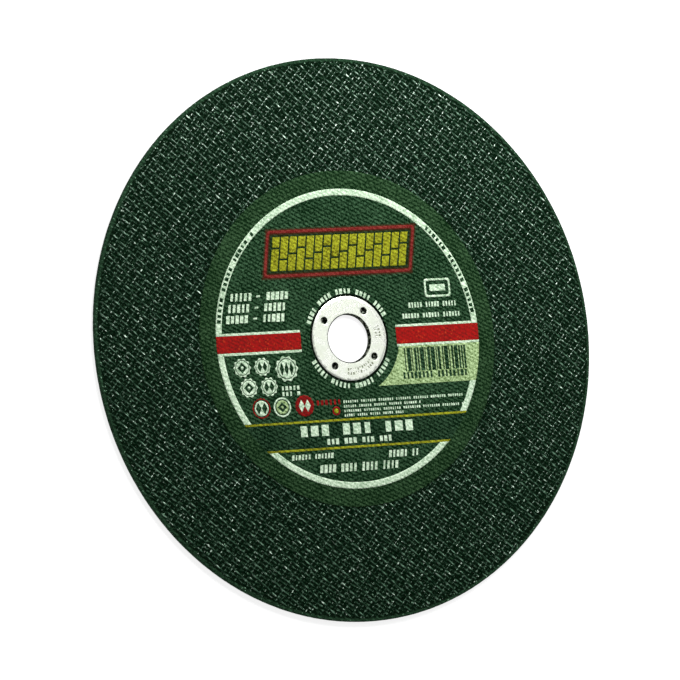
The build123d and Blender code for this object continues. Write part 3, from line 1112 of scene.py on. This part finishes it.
def pale_green_shapes(finish):
    """The field at the lower right with a row of open stripes, and the middle of the white ring badge."""
    def field(x, y, radius):
        return (x > 0) & (y > FIELD_LOW) & (y < -BAR_TOP) & (radius < PRINT_R) & (radius > FIELD_IN_R)

    loops = [circle(3.7 * MM, 32, WHITE_RING), *diamonds(WHITE_RING, 3.2 * MM, 1)]
    left = STRIPE_START
    for width, gap in STRIPES:
        loops.append(box_loop(left, left + width * MM, STRIPE_LOW, STRIPE_TOP))
        left += (width + gap) * MM
    rounds = [circle(PRINT_R, PRINT_CUTS), circle(FIELD_IN_R, FIELD_CUTS)]
    return ink_shapes("pale_green_ink_shapes", finish, rounds, (FIELD_LOW, -BAR_TOP), loops, field)


def rows_of_marks(white, red, dark):
    """The rows of small plain blocks, in white, red and dark ink."""
    level, bent = level_row_recipe(), round_row_recipe()
    rows = {"white": [], "red": [], "dark": []}
    inks = {"white": white, "red": red, "dark": dark}
    for seed, (colour, left, right, y, height, count, word, gap, lean) in enumerate(LEVEL_ROWS):
        rows[colour].append(level.mesh(
            start_x=left * MM,
            row_y=y * MM,
            pitch=(right - left) * MM / count,
            height=height * MM,
            count=count,
            word=word,
            gap=gap,
            lean=lean,
            seed=seed,
            finish=inks[colour],
        ))
    for seed, (colour, radius, start, end, height, count, word, gap) in enumerate(ROUND_ROWS):
        rows[colour].append(bent.mesh(
            radius=radius * MM,
            start_turn=math.radians(start),
            pitch=math.radians(start - end) * radius * MM / count,
            height=height * MM,
            count=count,
            word=word,
            gap=gap,
            seed=seed + 40,
            finish=inks[colour],
        ))
    return [gathered(colour + "_rows", meshes) for colour, meshes in rows.items()]


# The steel ring
def pressed_ring(finish):
    """The flange, its rolled edge, the collar and the torn claws: one sheet, then given its wall."""
    flange_edge, roll_start = FLANGE_R - EDGE_ROUND, BORE_R + BEND
    hole_edge = HOLE_R + HOLE_ROLL
    on_flange = ring_between(roll_start, flange_edge)

    def keep(spots):
        return on_flange(spots) & np.all([radius_of(spots, hole) > hole_edge for hole in HOLES], 0)

    loops = [circle(flange_edge, FLANGE_CUTS), circle(roll_start, BORE_CUTS)]
    loops += [circle(hole_edge, HOLE_CUTS, hole) for hole in HOLES]
    fill = clear_of_edge(ridge_grid(FLANGE_R, 1.6 * MM, 1.6 * MM), keep, 0.4 * MM)
    spots, faces = triangulate([(loop, True) for loop in loops], keep, fill)
    parts = [(lifted(spots, FLANGE_TOP), faces, True)]
    rim = [
        lifted(circle(flange_edge, FLANGE_CUTS), FLANGE_TOP),
        lifted(circle(FLANGE_R, FLANGE_CUTS), FLANGE_TOP - EDGE_ROUND),
    ]
    parts.append((*strips(rim), True))
    collar = [lifted(circle(BORE_R, BORE_CUTS), COLLAR_LOW)]
    for turn in np.linspace(math.pi / 2, 0, 6):
        radius = BORE_R + BEND * (1 - math.sin(turn))
        collar.append(lifted(circle(radius, BORE_CUTS), FLANGE_TOP - BEND * (1 - math.cos(turn))))
    parts.append((*strips(collar), True))
    for hole in HOLES:
        parts.append((*strips(torn_hole(hole)), True))
    ring = joined("pressed_ring", parts, finish)
    wall = ring.modifiers.new("wall", "SOLIDIFY")
    wall.thickness = SHEET
    wall.offset = -1.0
    return ring


def torn_hole(hole):
    """Rings of corners from the claws' torn ends up to the flange, round one pierced hole."""
    turns = np.arange(HOLE_CUTS) * 2 * math.pi / HOLE_CUTS
    claw = np.abs(np.cos(2 * turns)) ** 1.5
    torn = circle(1.0, HOLE_CUTS) * (HOLE_R + CLAW_FLARE * claw)[:, None] + np.array(hole)
    rings = [lifted(torn, FLANGE_TOP - HOLE_ROLL - TORN_LIP - (CLAW_DEPTH - HOLE_ROLL) * claw)]
    for turn in np.linspace(math.pi / 2, 0, 4):
        edge = circle(HOLE_R + HOLE_ROLL * (1 - math.sin(turn)), HOLE_CUTS, hole)
        rings.append(lifted(edge, FLANGE_TOP - HOLE_ROLL * (1 - math.cos(turn))))
    return rings


# Scene
def make_camera():
    """The camera where the photograph was taken from, with its roll and lens."""
    ahead = (CAMERA_AIM - CAMERA_PLACE).normalized()
    upright = (Vector((0, 1, 0)) - ahead.y * ahead).normalized()
    side = ahead.cross(upright)
    up = upright * math.cos(CAMERA_ROLL) + side * math.sin(CAMERA_ROLL)
    right = ahead.cross(up)
    turn = Matrix((right, up, -ahead)).transposed().to_4x4()
    camera = bpy.data.objects.new("camera", bpy.data.cameras.new("camera"))
    camera.data.lens = CAMERA_LENS
    camera.data.sensor_width = SENSOR_W
    camera.data.clip_start = 0.01
    camera.data.clip_end = 50.0
    camera.matrix_world = Matrix.Translation(CAMERA_PLACE) @ turn
    bpy.context.scene.collection.objects.link(camera)
    bpy.context.scene.camera = camera


def soft_light(name, place, aim, size, watts):
    light = bpy.data.lights.new(name, "AREA")
    light.size = size
    light.energy = watts
    lamp = bpy.data.objects.new(name, light)
    lamp.location = place
    lamp.rotation_euler = (Vector(aim) - Vector(place)).to_track_quat("-Z", "Y").to_euler()
    bpy.context.scene.collection.objects.link(lamp)


def make_studio():
    """A plain pale floor, a faint white surround, and three soft lights.

    The key light stands beyond the label's top. The ring light is about where the steel flange
    mirrors it, and the sheen light about where the upper part of the net does.
    """
    world = bpy.data.worlds.new("studio")
    world.use_nodes = True
    world.node_tree.nodes["Background"].inputs[0].default_value = (1.0, 1.0, 1.0, 1.0)
    world.node_tree.nodes["Background"].inputs[1].default_value = 0.1
    bpy.context.scene.world = world
    bpy.context.scene.view_settings.view_transform = "Standard"
    soft_light("key_light", (0.10, 0.42, 0.43), aim=(0.0, 0.01, 0.0), size=0.3, watts=5.8)
    soft_light("ring_light", (0.235, -0.035, 0.477), aim=(0.0, 0.0, 0.0), size=0.18, watts=0.1)
    soft_light("sheen_light", (0.25, 0.27, 0.44), aim=(0.0, 0.13, 0.0), size=0.22, watts=1.25)
    flat_reach = FLOOR_REACH - FLOOR_BEND
    rings = [lifted(circle(radius, FLOOR_CUTS), FLOOR_Z) for radius in (FLOOR_IN_R, flat_reach)]
    for turn in np.linspace(0, math.pi / 2, 9)[1:]:
        ring = circle(FLOOR_REACH - FLOOR_BEND * (1 - math.sin(turn)), FLOOR_CUTS)
        rings.append(lifted(ring, FLOOR_Z + FLOOR_BEND * (1 - math.cos(turn))))
    rings.append(lifted(circle(FLOOR_REACH, FLOOR_CUTS), FLOOR_TOP))
    corners, faces = strips(rings[::-1])
    middle = tuple(range(len(corners) - FLOOR_CUTS, len(corners)))
    mesh = bpy.data.meshes.new("floor")
    mesh.from_pydata(corners.tolist(), [], [*faces, middle])
    mesh.materials.append(studio_floor())
    floor = bpy.data.objects.new("floor", mesh)
    bpy.context.scene.collection.objects.link(floor)


def finished(piece, slot, *nodes):
    """The piece rides with the disc and stands for its CAD nodes. The slot argument is not used."""
    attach(piece, "root")
    if nodes:
        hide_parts(*nodes)


make_camera()
make_studio()
mix = abrasive_mix()
finished(mix_body(mix), "abrasive_mix", "abrasive_body")
grains = gathered("rim_grains", [grain_recipe().mesh(finish=mix)])
finished(grains, "abrasive_mix")

yarn = glass_yarn()
net = woven_net_recipe()
main_yarns = net.mesh(finish=yarn)
thin_yarns = net.mesh(
    finish=yarn,
    inner_radius=LABEL_R - LABEL_LAP,
    warp_width=WARP_W * MATE_WIDTH,
    warp_shift=WARP_MATE,
    warp_strength=0.5,
    weft_width=WEFT_W * MATE_WIDTH,
    weft_shift=WEFT_MATE,
    weft_strength=0.55,
)
finished(gathered("woven_front_net", [main_yarns, thin_yarns]), "glass_net", "front_net")
back_yarns = net.mesh(finish=yarn, middle_height=NET_MIDDLE, weave=-WEAVE, step=2 * YARN_STEP)
finished(gathered("woven_back_net", [back_yarns]), "glass_net", "back_net")

paper = label_paper()
white = ink("white_ink", paint(200, 218, 194), paint(112, 140, 110))
red = ink(
    "red_ink",
    paint(142, 16, 13),
    paint(84, 16, 14),
    wear=0.4,
    thinner=0.35,
    flecks=paint(156, 46, 22),
    upper=paint(124, 54, 46),
)
yellow = ink("yellow_ink", paint(147, 152, 33), paint(72, 68, 6))
pale_green = ink("pale_green_ink", paint(172, 197, 146), paint(70, 92, 44), wear=0.56)
finished(printed_label(paper), "label_paper", "label")
finished(white_shapes(white), "white_ink", "white_print")
finished(red_shapes(red), "red_ink", "red_print")
finished(yellow_shapes(yellow), "yellow_ink", "yellow_print")
finished(pale_green_shapes(pale_green), "pale_green_ink", "pale_green_print")
for rows, slot in zip(rows_of_marks(white, red, paper), ("white_ink", "red_ink", "label_paper")):
    finished(rows, slot)
finished(pressed_ring(ring_steel()), "ring_steel", "centre_ring")
